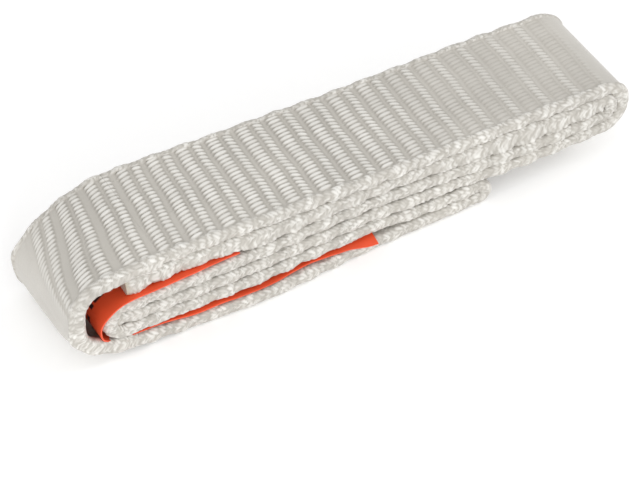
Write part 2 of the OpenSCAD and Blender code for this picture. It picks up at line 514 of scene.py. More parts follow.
@dataclass(frozen=True)
class Weave:
    """The strap's woven face: paired columns of lengthwise floats, with smooth troughs between the pairs.

    Sizes are in millimetres. A pair named over is where a change starts and the length it takes,
    and a pair named waves holds the slowest wave across the strap and along it.
    """

    seed: float = 1.3
    repeat: float = 13.75
    first: float = 100.8
    before: float = 0.27
    narrow_at: float = 6.6
    yarn: float = 2.1
    wide_half: float = 3.2
    narrow_half: float = 2.15
    wide_high: float = 0.95
    narrow_high: float = 0.9
    least_high: float = 0.84
    height_spread: float = 0.16
    float_share: float = 0.82
    dome_share: float = 0.16
    lean: float = 0.16
    lean_lost: float = 0.13
    lean_lost_over: Pair = (50.0, 110.0)
    lean_over: Pair = (-30.0, 30.0)
    stray: float = 0.35
    stray_waves: Pair = (31.0, 70.0)
    close: float = 0.7
    close_thin: float = 0.6
    close_over: Pair = (70.0, 50.0)
    turn_over: Pair = (95.0, 45.0)
    wide_slant: Pair = (0.24, 0.14)
    narrow_slant: Pair = (0.08, 0.3)
    row_stray: float = 0.12
    row_waves: Pair = (17.0, 40.0)
    # Painted loss of sheen towards the right fold: the wide floats are lowered and their painted highlight
    # dimmed.
    sheen_fade_over: Pair = (172.0, 90.0)
    sheen_fade_end_over: Pair = (20.0, 20.0)
    sheen_fade_share: float = 0.5
    soft_flat: float = 0.6
    patch: float = 0.14
    patch_waves: Pair = (27.0, 38.0)
    column_rim: Pair = (0.5, 0.9)
    # Tones of the columns: painted shade between the floats and a painted highlight on their crowns.
    valley_shade: float = 0.38
    trough_tone: float = 0.5
    crown_highlight: float = 0.9
    smooth_tone: float = 0.58
    calm_over: Pair = (-3.0, 10.0)
    rough_over: tuple[Triple, ...] = ((0.7, 41.0, 7.0), (0.3, 47.0, 16.0))
    far_calm_over: Pair = (-2.0, 5.0)
    far_rough_over: Pair = (28.0, 6.0)
    selvedge: float = 1.9
    loop_long: float = 3.7
    loop_wide: float = 1.0
    loop_slant: float = 0.55
    loop_high: float = 0.5
    loop_least: float = 0.45
    loop_spread: float = 0.55
    loop_stray: Pair = (0.9, 0.5)
    loop_waves: Pair = (13.0, 21.0)
    loop_row_waves: Pair = (8.0, 9.0)

    def lenses(self, along: Array, half: Array | float, across: Array, seed: float) -> Array:
        """One column of leaf-shaped floats.

        Args:
            along: Distance from the column's middle line.
            half: Half the length of a float.
            across: Distance across the strap, in floats.
            seed: Number of the column, so that no two look alike.

        Returns:
            Height from 0 to 1.
        """
        u = np.clip(np.abs(along) / half, 0, 1)
        row = np.floor(across)
        w = 2 * (across - row) - 1
        leaf = np.clip(1 - u**2.2, 0.0, 1) ** 0.6 + 1e-6
        body = np.sqrt(np.clip(1 - (w / leaf) ** 2, 0, 1)) * np.sqrt(np.clip(1 - u**4, 0, 1))
        return body * (self.least_high + self.height_spread * chance(seed, row, 1.0))

    def sheen_fade(self, s: Array, length: float) -> Array:
        """Painted loss of sheen towards the right fold, from 0 to 1: the wide floats are lowered and their
        painted highlight dimmed.
        """
        return past(s, *self.sheen_fade_over) * (1 - past(s - length, *self.sheen_fade_end_over))

    def face(self, s: Array, v: Array, length: float) -> tuple[Array, Array]:
        """Relief of the ribbed face.

        Args:
            s: Length along the strap from the start of the left fold.
            v: Place across it.
            length: Length from the start of the left fold to the start of the right one.

        Returns:
            Height above the ground in millimetres, and tone from 0 in the painted shade between the floats
            to 1 on the painted highlights of their crowns.
        """
        lean = (self.lean - self.lean_lost * past(s, *self.lean_lost_over)) * past(s, *self.lean_over)
        across, along = self.stray_waves
        t = s - lean * v + self.stray * waver(v / across, s / along, self.seed)
        pair = np.floor((t - self.first) / self.repeat + self.before)
        wide = t - self.first - pair * self.repeat
        close = 1 - past(s, *self.close_over)
        narrow = wide - self.narrow_at + self.close * close
        turn = past(s, *self.turn_over)
        across, along = self.row_waves
        q = v / self.yarn + self.row_stray * waver(v / across, s / along, self.seed + 2)
        half = self.wide_half - self.close_thin * close
        slant = self.wide_slant[0] - self.wide_slant[1] * turn
        big = self.lenses(wide, half, q - slant * wide / self.yarn, pair)
        slant = self.narrow_slant[0] + self.narrow_slant[1] * turn
        small = self.lenses(narrow, self.narrow_half, q + 0.5 + slant * narrow / self.yarn, pair + 0.5)
        # Towards the right fold the wide floats lose height and their painted highlight, for the sheen that
        # fades there.
        sheen_fade = self.sheen_fade(s, length)
        fade = 1 - self.sheen_fade_share * sheen_fade
        dome = np.clip(1 - (wide / half) ** 2, 0, 1) + np.clip(1 - (narrow / self.narrow_half) ** 2, 0, 1)
        high = self.wide_high * fade * big + self.narrow_high * small
        high = self.float_share * high + self.dome_share * dome
        rim, soft_rim = self.column_rim
        in_wide = eased((half + rim - np.abs(wide)) / soft_rim)
        in_column = np.maximum(in_wide, eased((self.narrow_half + rim - np.abs(narrow)) / soft_rim))
        # Painted shade between the floats in each column, and a painted highlight on each float's crown.
        tone = self.trough_tone - self.valley_shade * in_column + np.maximum(big * fade, small) * self.crown_highlight
        # Where the sheen fades, and in random smooth patches, the ribs flatten and the painted shade and
        # highlight give way to the smooth tone.
        across, along = self.patch_waves
        soft = self.sheen_fade_share * sheen_fade + self.patch * (1 + waver(v / across, s / along, self.seed + 4))
        return high * (1 - self.soft_flat * soft), np.clip(tone + (self.smooth_tone - tone) * soft, 0, 1)

    def calm(self, s: Array, length: float) -> Array:
        """How smooth the strap is pressed, from 0 to 1, round the left fold and round the right one."""
        smooth = 1.0
        for share, start, over in self.rough_over:
            smooth = smooth - share * past(s, start, over)
        left = past(s, *self.calm_over) * smooth
        right = past(s - length, *self.far_calm_over) * (1 - past(s - length, *self.far_rough_over))
        return np.maximum(left, right)

    def loops(self, s: Array, n: Array, seed: float) -> Array:
        """Slanting loops of the selvedge.

        Args:
            s: Length along the strap.
            n: Distance round the edge.
            seed: Shifts the pattern between the two edges.

        Returns:
            Height from 0 to 1.
        """
        across, along = self.loop_waves
        s = s + self.loop_stray[0] * waver(s / along, n / across, seed)
        across, along = self.loop_row_waves
        n = n + self.loop_stray[1] * waver(s / along, n / across, seed + 2)
        size = math.hypot(1, self.loop_slant)
        a = (s - self.loop_slant * n) / size / self.loop_long
        b = (self.loop_slant * s + n) / size / self.loop_wide
        row = np.floor(b)
        a = a + chance(row, 0 * row, seed)
        cell = np.floor(a)
        fa, fb = 2 * (a - cell) - 1, 2 * (b - row) - 1
        bump = np.sqrt(np.clip(1 - np.abs(fa) ** 2.4 - 0.9 * fb**2, 0, 1))
        return bump * (self.loop_least + self.loop_spread * chance(cell, row, seed + 3))


@dataclass(frozen=True)
class Ring:
    """The strap's cross-section, closed by its first point."""

    v: Array
    n: Array
    out_v: Array
    out_n: Array
    part: Array
    around: Array
    FACE = 0
    EDGE = 1
    BACK = 2
    SQUARE_V = 0.5
    SQUARE_N = 0.6

    @classmethod
    def make(cls, width: float, thick: float, selvedge: float, face: int, back: int, edge: int) -> "Ring":
        """Lay out the ring from the near side of its face round to the near edge.

        Args:
            width: Width of the strap's ground.
            thick: Thickness between the grounds of its two faces.
            selvedge: Width of the rounded edge.
            face: Steps across the outer face.
            back: Steps across the inner face.
            edge: Steps round each edge.

        Returns:
            The ring.
        """
        flat, h = width / 2 - selvedge, thick / 2
        a = np.linspace(np.pi / 2, -np.pi / 2, edge + 1)[:-1]
        c = np.abs(np.cos(a)) ** cls.SQUARE_V
        s = np.sign(np.sin(a)) * np.abs(np.sin(a)) ** cls.SQUARE_N
        top = np.linspace(-flat, flat, face + 1)[:-1]
        low = np.linspace(flat, -flat, back + 1)[:-1]
        v = np.concatenate([top, flat + selvedge * c, low, -flat - selvedge * c])
        n = np.concatenate([np.full(face, h), h * s, np.full(back, -h), -h * s])
        zero, cos, sin = np.zeros, np.cos(a), np.sin(a)
        out_v = np.concatenate([zero(face), cos, zero(back), -cos])
        out_n = np.concatenate([np.ones(face), sin, -np.ones(back), -sin])
        part = np.concatenate([np.full(face, cls.FACE), np.full(edge, cls.EDGE),
                               np.full(back, cls.BACK), np.full(edge, cls.EDGE)])
        v, n, out_v, out_n, part = (np.append(x, x[0]) for x in (v, n, out_v, out_n, part))
        return cls(v, n, out_v, out_n, part, arc_of(np.stack([v, n], 1)))


def deselect() -> None:
    """Leave edit mode and select nothing, so an operator acts only on what is made next."""
    if bpy.context.object and bpy.context.object.mode != "OBJECT":
        bpy.ops.object.mode_set(mode="OBJECT")
    bpy.ops.object.select_all(action="DESELECT")


def select_only(obj: Thing) -> None:
    """Select one object and make it active."""
    deselect()
    obj.select_set(True)
    bpy.context.view_layer.objects.active = obj


def flat_grid(name: str, across: int, along: int) -> tuple[Thing, Array, Array]:
    """Add a flat grid to be laid along a route.

    Args:
        name: The piece's name.
        across: Faces across it.
        along: Faces along it.

    Returns:
        The object, and each vertex's place along and across as whole numbers.
    """
    deselect()
    bpy.ops.mesh.primitive_grid_add(x_subdivisions=along, y_subdivisions=across, size=1.0)
    obj = bpy.context.object
    obj.name = obj.data.name = name
    co = np.empty(len(obj.data.vertices) * 3)
    obj.data.vertices.foreach_get("co", co)
    co = co.reshape(-1, 3)
    i = np.rint((co[:, 0] + 0.5) * along).astype(int)
    j = np.rint((co[:, 1] + 0.5) * across).astype(int)
    return obj, i, j


def place(obj: Thing, flat: Array, y: Array) -> None:
    """Move every vertex to its place, given in millimetres in the side view and across the webbing."""
    co = np.stack([CAD_BOX[0][0] + flat[:, 0] * MM, y * MM, flat[:, 1] * MM], 1)
    obj.data.vertices.foreach_set("co", co.astype(np.float32).ravel())
    obj.data.update()


def paint(obj: Thing, name: str, values: Array) -> None:
    """Keep one number a vertex for the material to read."""
    layer = obj.data.attributes.new(name, "FLOAT", "POINT")
    layer.data.foreach_set("value", values.astype(np.float32))


def scale_uv(obj: Thing, length: float, around: float, start: float) -> None:
    """Stretch the grid's own UV map to metres along and across the strap."""
    layer = obj.data.uv_layers[0]
    uv = np.empty(len(layer.data) * 2)
    layer.data.foreach_get("uv", uv)
    uv = uv.reshape(-1, 2)
    uv[:, 0] = start + uv[:, 0] * length
    uv[:, 1] = uv[:, 1] * around
    layer.data.foreach_set("uv", uv.ravel())
    layer.name = "along"


def close_up(obj: Thing) -> None:
    """Weld the ring's seam, cap both ends and point the faces outwards."""
    select_only(obj)
    bpy.ops.object.mode_set(mode="EDIT")
    bpy.ops.mesh.select_all(action="SELECT")
    bpy.ops.mesh.remove_doubles(threshold=WELD)
    bpy.ops.mesh.select_all(action="DESELECT")
    bpy.ops.mesh.select_mode(type="EDGE")
    bpy.ops.mesh.select_non_manifold(extend=False, use_wire=False, use_multi_face=False,
                                     use_non_contiguous=False, use_verts=False)
    bpy.ops.mesh.edge_face_add()
    bpy.ops.mesh.select_all(action="SELECT")
    bpy.ops.mesh.normals_make_consistent(inside=False)
    bpy.ops.object.mode_set(mode="OBJECT")
    bpy.ops.object.shade_smooth_by_angle(angle=WOVEN_ANGLE)


def carry(obj: Thing, bodies: tuple[str, ...]) -> None:
    """Ride on one body; a piece between two bodies is left unparented, with its transform baked."""
    if len(bodies) == 1:
        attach(obj, bodies[0])
    else:
        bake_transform(obj)


def dress(obj: Thing, mat: Material, cad: str, slot: str) -> None:
    """Give a piece its material, hide the CAD node it stands for and log its slot."""
    obj.data.materials.clear()
    obj.data.materials.append(mat)
    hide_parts(cad)
    log.info("%s %s: %d faces", slot, obj.name, len(obj.data.polygons))


def node_tree(name: str) -> tuple[Material, Tree, bpy.types.Node]:
    """A new node material with its shader."""
    mat = bpy.data.materials.new(name)
    mat.use_nodes = True
    tree = mat.node_tree
    return mat, tree, tree.nodes["Principled BSDF"]


def node(tree: Tree, kind: str, **values) -> bpy.types.Node:
    """Add a node and set its properties and inputs.

    Args:
        tree: The material's tree.
        kind: The node's type.
        values: Properties by name, or inputs by name with spaces as underscores.

    Returns:
        The node.
    """
    made = tree.nodes.new(kind)
    for key, value in values.items():
        socket = next((s for s in made.inputs if s.name.replace(" ", "_") == key), None)
        if socket is not None:
            socket.default_value = value
        else:
            setattr(made, key, value)
    return made


def blend_colours(tree: Tree, factor, first, second) -> Socket:
    """Mix two colours, each a socket or a fixed colour, by a factor socket."""
    mix = node(tree, "ShaderNodeMix", data_type="RGBA")
    tree.links.new(factor, mix.inputs[0])
    for slot, colour in ((6, first), (7, second)):
        if isinstance(colour, tuple):
            mix.inputs[slot].default_value = colour
        else:
            tree.links.new(colour, mix.inputs[slot])
    return mix.outputs[2]


def noise(tree: Tree, scale: float, detail: float) -> Socket:
    """Noise that stays with the piece."""
    coords = node(tree, "ShaderNodeTexCoord")
    made = node(tree, "ShaderNodeTexNoise", Scale=scale, Detail=detail)
    tree.links.new(coords.outputs["Object"], made.inputs["Vector"])
    return made.outputs["Fac"]


def spread(tree: Tree, factor, span: Pair, to: Pair) -> Socket:
    """Map a span of a factor to another span."""
    made = node(tree, "ShaderNodeMapRange", From_Min=span[0], From_Max=span[1], To_Min=to[0], To_Max=to[1])
    tree.links.new(factor, made.inputs["Value"])
    return made.outputs["Result"]


def dimmed(tree: Tree, factor, colour) -> Socket:
    """A colour, a socket or a fixed one, with its brightness multiplied by a factor."""
    hue = node(tree, "ShaderNodeHueSaturation")
    tree.links.new(factor, hue.inputs["Value"])
    if isinstance(colour, tuple):
        hue.inputs["Color"].default_value = colour
    else:
        tree.links.new(colour, hue.inputs["Color"])
    return hue.outputs["Color"]


def bumpy(tree: Tree, shader: bpy.types.Node, height, strength: float, deep: float) -> None:
    """Give a shader a bump from a height."""
    bump = node(tree, "ShaderNodeBump", Strength=strength, Distance=deep)
    tree.links.new(height, bump.inputs["Height"])
    tree.links.new(bump.outputs["Normal"], shader.inputs["Normal"])


@dataclass(frozen=True)
class WebbingFinish:
    """Undyed woven polyester: warm white, a little sheen, fine filaments along each float."""

    # crown is a painted highlight and gap a painted shade on the one warm white yarn, whose own colour is
    # ground.
    crown: Colour = (0.82, 0.805, 0.765, 1)
    ground: Colour = (0.50, 0.475, 0.43, 1)
    gap: Colour = (0.36, 0.34, 0.30, 1)
    sealed: Colour = (0.52, 0.44, 0.30, 1)
    rough: float = 0.5
    sheen: float = 0.15
    sheen_rough: float = 0.4
    cloud: Pair = (34.0, 4.0)
    cloud_range: Pair = (0.94, 1.05)
    speck: Pair = (900.0, 2.0)
    speck_span: Pair = (0.35, 0.6)
    speck_range: Pair = (0.35, 1.0)
    bump: Pair = (0.35, 0.0003)
    filaments: Triple = (300.0, 4500.0, 1.0)

    def material(self) -> Material:
        """Build the material."""
        mat, tree, shader = node_tree("woven_polyester")
        link = tree.links.new
        # Tone ramp from the painted shade in the gaps, through the yarn's own colour, to the painted
        # highlight on the crowns.
        tone = node(tree, "ShaderNodeAttribute", attribute_name="tone")
        ramp = node(tree, "ShaderNodeValToRGB")
        ramp.color_ramp.elements[0].color = self.gap
        ramp.color_ramp.elements[1].color = self.crown
        ramp.color_ramp.elements.new(0.5).color = self.ground
        link(tone.outputs["Fac"], ramp.inputs["Fac"])
        shade = spread(tree, noise(tree, *self.cloud), CLOUD_SPAN, self.cloud_range)
        woven = dimmed(tree, shade, ramp.outputs["Color"])
        sealed = node(tree, "ShaderNodeAttribute", attribute_name="sealed")
        patchy = node(tree, "ShaderNodeMath", operation="MULTIPLY")
        link(sealed.outputs["Fac"], patchy.inputs[0])
        specks = spread(tree, noise(tree, *self.speck), self.speck_span, self.speck_range)
        link(specks, patchy.inputs[1])
        link(blend_colours(tree, patchy.outputs[0], woven, self.sealed), shader.inputs["Base Color"])
        uv = node(tree, "ShaderNodeUVMap", uv_map="along")
        lay = node(tree, "ShaderNodeMapping")
        lay.inputs["Scale"].default_value = self.filaments
        link(uv.outputs["UV"], lay.inputs["Vector"])
        hair = node(tree, "ShaderNodeTexNoise", Scale=1.0, Detail=2.0)
        link(lay.outputs["Vector"], hair.inputs["Vector"])
        bumpy(tree, shader, hair.outputs["Fac"], *self.bump)
        shader.inputs["Roughness"].default_value = self.rough
        shader.inputs["Sheen Weight"].default_value = self.sheen
        shader.inputs["Sheen Roughness"].default_value = self.sheen_rough
        return mat


@dataclass(frozen=True)
class LabelFinish:
    """Smooth coated label cloth in orange red, with a dark print."""

    colour: Colour = (0.80, 0.082, 0.022, 1)
    ink: Colour = (0.03, 0.01, 0.01, 1)
    rough: float = 0.5
    cloud: Pair = (60.0, 2.0)
    cloud_range: Pair = (0.92, 1.08)
    weave: float = 2600.0
    bump: Pair = (0.15, 0.0001)

    def material(self) -> Material:
        """Build the material."""
        mat, tree, shader = node_tree("label_cloth")
        link = tree.links.new
        shade = spread(tree, noise(tree, *self.cloud), CLOUD_SPAN, self.cloud_range)
        cloth = dimmed(tree, shade, self.colour)
        print_at = node(tree, "ShaderNodeAttribute", attribute_name="print")
        link(blend_colours(tree, print_at.outputs["Fac"], cloth, self.ink), shader.inputs["Base Color"])
        uv = node(tree, "ShaderNodeUVMap", uv_map="along")
        weave = node(tree, "ShaderNodeTexVoronoi", Scale=self.weave)
        link(uv.outputs["UV"], weave.inputs["Vector"])
        bumpy(tree, shader, weave.outputs["Distance"], *self.bump)
        shader.inputs["Roughness"].default_value = self.rough
        return mat


@dataclass(frozen=True)
class ThreadFinish:
    """Twisted white sewing thread, pulled down into the weave."""

    colour: Colour = (0.52, 0.50, 0.45, 1)
    rough: float = 0.6
    twist: float = 900.0
    twist_range: Pair = (0.85, 1.0)

    def material(self) -> Material:
        """Build the material."""
        mat, tree, shader = node_tree("sewing_thread")
        link = tree.links.new
        coords = node(tree, "ShaderNodeTexCoord")
        twist = node(tree, "ShaderNodeTexWave", Scale=self.twist, Distortion=0.5)
        link(coords.outputs["Object"], twist.inputs["Vector"])
        tone = spread(tree, twist.outputs["Fac"], (0.0, 1.0), self.twist_range)
        link(dimmed(tree, tone, self.colour), shader.inputs["Base Color"])
        shader.inputs["Roughness"].default_value = self.rough
        return mat


@dataclass
class Webbing:
    """The strap: every stretch of it as a woven, closed piece.

    Pairs named over and waves are as in Weave, but both waves run along the strap.
    """

    strap: Strap
    hand: Hand
    weave: Weave = field(default_factory=Weave)
    finish: WebbingFinish = field(default_factory=WebbingFinish)
    step: float = 0.46
    face_points: int = 6
    hidden_points: int = 14
    edge_points: int = 24
    ground: float = 0.55
    flare: float = 0.5
    flare_reach: float = 5.0
    cut_tone: float = 0.42
    seal_reach: float = 1.2
    seals: Pair = (0.75, 0.15)
    recess: float = 1.7
    recess_reach: float = 9.0
    thicker: float = 1.2
    thicker_over: Pair = (12.0, 11.0)
    hang_places: Values = (24.0, 50.0, 71.0, 80.0)
    hang_shares: Values = (0.52, 0.38, 0.46, 1.04)
    hang_over: Pair = (-3.0, 19.0)
    rim: Pair = (0.9, 1.2)
    rim_low: float = 0.6
    rim_tone: float = 0.62
    calm_low: float = 0.88
    # Painted shade between the selvedge loops, painted glints on the loops, and painted shading over the
    # edge's swells.
    edge_shade_glint: Triple = (0.29, 0.67, 0.14)
    back_tone: Pair = (0.5, 0.12)
    back_high: float = 0.25
    swell_shift: float = 0.24
    swell_far: float = 0.6
    swell_near: float = 0.5
    bulge: float = 0.75
    wander_far: float = 0.1
    wander_near: float = 0.28
    wander_waves: Pair = (14.0, 29.0)
    lift: Triple = (1.6, 0.25, 0.75)

    def build(self) -> None:
        """Build every stretch in order."""
        mat = self.finish.material()
        for k, stretch in enumerate(self.strap.stretches):
            obj = self._stretch(k, stretch)
            carry(obj, stretch.bodies)
            dress(obj, mat, stretch.node, "webbing")

    def _ring(self, relief: Relief) -> Ring:
        """The cross-section for a stretch, with full detail on the faces that show."""
        lay, weave = self.strap.layout, self.weave
        ribbed = lay.width - 2 * weave.selvedge
        fine = self.face_points * int(round(ribbed / weave.yarn))
        face = fine if relief is Relief.OUTER else self.hidden_points
        thick = lay.thick - 2 * self.ground
        return Ring.make(lay.width, thick, weave.selvedge, face, self.hidden_points, self.edge_points)

    def _relief(self, s: Array, ring: Ring, j: Array, relief: Relief, cut: Array) -> tuple[Array, Array]:
        """How far each vertex stands out of the ring, and its tone.

        Args:
            s: Length along the whole strap of each vertex.
            ring: The cross-section.
            j: Place of each vertex round the ring.
            relief: Which faces show their weave.
            cut: Closeness to a cut end, from 0 to 1.

        Returns:
            Height in millimetres, and tone with the weave's painted shade and highlights.
        """
        lay, weave = self.strap.layout, self.weave
        t, v = s - self.strap.nose_start, ring.v[j]
        length = self.strap.nose_to_right
        calm = weave.calm(t, length)
        high, tone = weave.face(t, v, length)
        inset, soft = self.rim
        rim = past(np.abs(v), lay.width / 2 - weave.selvedge - inset, soft)
        high = high * (1 - self.calm_low * calm) * (1 - self.rim_low * rim)
        tone = tone + (weave.smooth_tone - tone) * calm
        tone = tone + (self.rim_tone - tone) * rim * self.rim_low
        loops = weave.loops(s, ring.around[j], 2.0 + np.sign(v))
        off = t - weave.first - self.swell_shift * weave.repeat
        swell = 0.5 + 0.5 * np.cos(2 * np.pi * off / weave.repeat)
        # Painted shade between the selvedge loops, painted glints on them, and painted shading that follows
        # the edge's swells.
        base, on_loops, on_swell = self.edge_shade_glint
        edge_shade_glint = base + on_loops * loops + on_swell * (swell - 0.5)
        part = ring.part[j]
        back, flat = part == Ring.BACK, part == Ring.FACE
        up = np.where(flat, high, 0.0)
        up = np.where(back | (flat & (relief is Relief.HIDDEN)), self.back_high * weave.loops(s, v, 9.0), up)
        bulge = self.ground * self.bulge + np.where(v > 0, self.swell_far, self.swell_near) * swell
        bulge = bulge + (weave.loop_high * (1 - 0.5 * calm)) * loops
        first, second = self.wander_waves
        wander = waver(s / first, s / second, 5.0) + 0.4
        bulge = bulge + np.where(v < 0, self.wander_near, self.wander_far) * wander
        steep, more, least = self.lift
        lift = np.clip(steep * (1 - np.abs(ring.out_n[j])), 0, 1) * more + least
        up = np.where(part == Ring.EDGE, bulge * lift, up)
        up = up + self.flare * cut * np.abs(ring.out_n[j])
        tone = np.where(flat, tone, np.where(back, self.back_tone[0] + self.back_tone[1] * loops, edge_shade_glint))
        return up, np.clip(tone, 0, 1)

    def _stretch(self, k: int, stretch: Stretch) -> Thing:
        """One stretch as a closed mesh."""
        strap, ring = self.strap, self._ring(stretch.relief)
        s = strap.steps(k, self.step)
        wide = np.concatenate([[s[0] - strap.ahead], s, [s[-1] + strap.ahead]])
        middle = self.hand.shape(strap.at(wide), ring.v, stretch.bow)
        way = middle[2:] - middle[:-2]
        way /= np.linalg.norm(way, axis=2)[..., None]
        middle = middle[1:-1]
        sway = self.hand.sway(strap.at(s), s, stretch.bow)
        obj, i, j = flat_grid(stretch.name, len(ring.v) - 1, len(s) - 1)
        end = {-1: s[i] - s[0], 0: np.full(len(i), 1e9), 1: s[-1] - s[i]}[stretch.cut]
        cut = np.exp(-((end / self.flare_reach) ** 2))
        out, tone = self._relief(s[i], ring, j, stretch.relief, cut)
        n = ring.n[j] + out * ring.out_n[j]
        heading = way[i, j]
        if stretch.bow in (Bow.NOSE_TOP, Bow.NOSE_LOW):
            n = np.where(n < 0, n - self.thicker * past(-ring.v[j], *self.thicker_over), n)
        if stretch.bow is Bow.UNDER_TOP:
            n = self._hang(n, middle[i, j, 0], ring.v[j])
        flat = middle[i, j] + n[:, None] * np.stack([-heading[:, 1], heading[:, 0]], 1)
        y = ring.v[j] + out * ring.out_v[j] + sway[i]
        if stretch.cut == 1:
            near = eased(0.5 - ring.v[j] / strap.layout.width)
            y = y + self.recess * np.exp(-((end / self.recess_reach) ** 2)) * near
        place(obj, flat, y)
        sealed = np.exp(-((end / self.seal_reach) ** 2))
        # The tone holds the weave's painted shade and highlights; near a cut it turns to the sealed end's
        # own tone.
        paint(obj, "tone", tone + (self.cut_tone - tone) * sealed)
        paint(obj, "sealed", sealed * self.seals[0 if stretch.cut < 0 else 1])
        scale_uv(obj, (s[-1] - s[0]) * MM, ring.around[-1] * MM, s[0] * MM)
        close_up(obj)
        return obj

    def _hang(self, n: Array, x: Array, v: Array) -> Array:
        """Let the near edge of the lap's upper run hang down towards the label and the layer below it.

        Args:
            n: Distance of each vertex from the run's middle, up.
            x: Place of each vertex along the bundle.
            v: Place of each vertex across the webbing.

        Returns:
            The distances with the hanging edge.
        """
        lay = self.strap.layout
        gap = lay.gap_under_lap(x)
        share = through(x, self.hang_places, self.hang_shares)
        near = past(-v, *self.hang_over)
        return np.where(n < 0, n - gap * share * near * np.clip(-2 * n / lay.thick, 0, 1), n)


@dataclass
class Label:
    """The orange label: laid round the inner turn, sewn on top and loose at the bottom.

    Places are lengths along it from its sewn end, where it stands out past the near edge of
    the webbing and is raised there. A pair named over is where a change starts and its length.
    """

    strap: Strap
    hand: Hand
    finish: LabelFinish = field(default_factory=LabelFinish)
    across: int = 90
    step: float = 0.5
    droop: float = 1.9
    droop_over: Pair = (170.0, 26.0)
    edge_reach: float = 14.0
    edge_most: float = 1.6
    ripple: float = 0.18
    ripple_waves: Pair = (31.0, 60.0)
    hang_from: float = 80.0
    hang_gone_over: Pair = (160.0, 24.0)
    row_inset: float = 6.0
    row_pitch: float = 4.2
    row_half: float = 0.26
    last_row: int = 6
    word: float = 5.5
    printed_at: tuple[Pair, ...] = ((52.0, 24.0), (145.0, 30.0))
    places: Values = (0, 26, 45, 56, 68, 80, 98, 118, 145, 165, 180, 196)
    stands_out: Values = (0.8, 2.2, 2.2, 2.8, 1.6, -0.6, -0.5, 1.7, 2.2, 0.8, 1.9, 3.2)
    raised: Values = (-0.3, 0.8, 0.35, 0.25, 0.0, 0.8, 1.1, 1.1, 1.1, 1.0, 0.5, 0.0)

    @property
    def cloth(self) -> float:
        """Thickness of the label cloth."""
        low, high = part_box("label_lower")
        return (high[2] - low[2]) / MM

    def _height(self, name: str) -> float:
        """Height of the middle of one of the label's flat stretches."""
        return sum(corner[2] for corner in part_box(name)) / 2 / MM

    def printed(self, s: Array, y: Array) -> Array:
        """Plain dark bars in rows, where the real label has its print, from 0 to 1."""
        rows = (y + self.strap.layout.width / 2 - self.row_inset) / self.row_pitch
        row = np.floor(rows)
        in_row = np.abs(rows - row - 0.5) < self.row_half
        word = np.floor(s / self.word)
        in_word = (s / self.word - word) < 0.35 + 0.5 * chance(word, row, 4.0)
        in_block = np.any([np.abs(s - middle) < half for middle, half in self.printed_at], axis=0)
        return (in_row & in_word & (row >= 0) & (row <= self.last_row) & in_block).astype(float)

    def build(self) -> None:
        """Build the label's four stretches."""
        mat, lay = self.finish.material(), self.strap.layout
        top = self._height("label_upper")
        low = self._height("label_lower")
        reach = lay.inner_bend_x - (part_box("label_turn")[0][0] - CAD_BOX[0][0]) / MM - self.cloth / 2
        fold, link, up = "lower_fold", "fold_link", "upper_fold"
        bend = lay.inner_bend_x
        plan = [
            ("upper", "label_upper", self._flat(lay.label_sewn, bend, top, 200), (up,), "inner_lap_lower"),
            ("turn_upper", "label_turn", half_turn(bend, top, low, reach, -1, (0, 0.5)), (up, link),
             "inner_left_turn_upper"),
            ("turn_lower", "label_turn", half_turn(bend, top, low, reach, -1, (0.5, 1)), (link, fold),
             "inner_left_turn_lower"),
            ("lower", "label_lower", self._flat(bend, lay.label_loose, low, 300), (fold,), "tail_lower"),
        ]
        at = 0.0
        for name, cad, points, bodies, under in plan:
            obj, length = self._sheet(f"cloth_{name}", points, at)
            at += length
            carry(obj, bodies)
            dress(obj, mat, cad, "label")

    def _flat(self, x0: float, x1: float, z: float, points: int) -> Array:
        """A flat stretch of the label between two places."""
        return np.stack([np.linspace(x0, x1, points), np.full(points, z)], 1)

    def _sheet(self, name: str, points: Array, start: float) -> tuple[Thing, float]:
        """One stretch of the label.

        Args:
            name: The piece's name.
            points: Its middle line in the side view.
            start: Length of label before this stretch, so its ripples and print run on.

        Returns:
            The sheet with its thickness, and its length.
        """
        lay = self.strap.layout
        whole = arc_of(points)
        along = max(self.strap.fewest, int(round(whole[-1] / self.step)))
        at = np.linspace(0, whole[-1], along + 1)
        line = np.stack([np.interp(at, whole, points[:, i]) for i in (0, 1)], 1)
        obj, i, j = flat_grid(name, self.across, along)
        s = start + at[i]
        out = through(s, self.places, self.stands_out)
        y = -lay.width / 2 - out + lay.label_width * j / self.across
        near = np.clip(1 - (y + lay.width / 2) / self.edge_reach, 0, self.edge_most)
        along_wave, across_wave = self.ripple_waves
        ripple = self.ripple * waver(s / along_wave, y / across_wave, 3.0) * near
        hang = self.hand.sag(line[i, 0], line[i, 1]) if start > self.hang_from else 0.0
        hang = hang * (1 - past(s, *self.hang_gone_over))
        rise = (through(s, self.places, self.raised) - hang) * eased(near)
        flat = line[i] + ripple[:, None] * square_to(line)[i]
        flat[:, 1] += rise - self.droop * past(s, *self.droop_over) * near**2
        place(obj, flat, y)
        paint(obj, "print", self.printed(s, y))
        scale_uv(obj, whole[-1] * MM, lay.label_width * MM, start * MM)
        solid = obj.modifiers.new("cloth", "SOLIDIFY")
        solid.thickness = self.cloth * MM
        solid.offset = 0.0
        select_only(obj)
        bpy.ops.object.modifier_apply(modifier=solid.name)
        bpy.ops.object.shade_smooth_by_angle(angle=CLOTH_ANGLE)
        return obj, float(whole[-1])


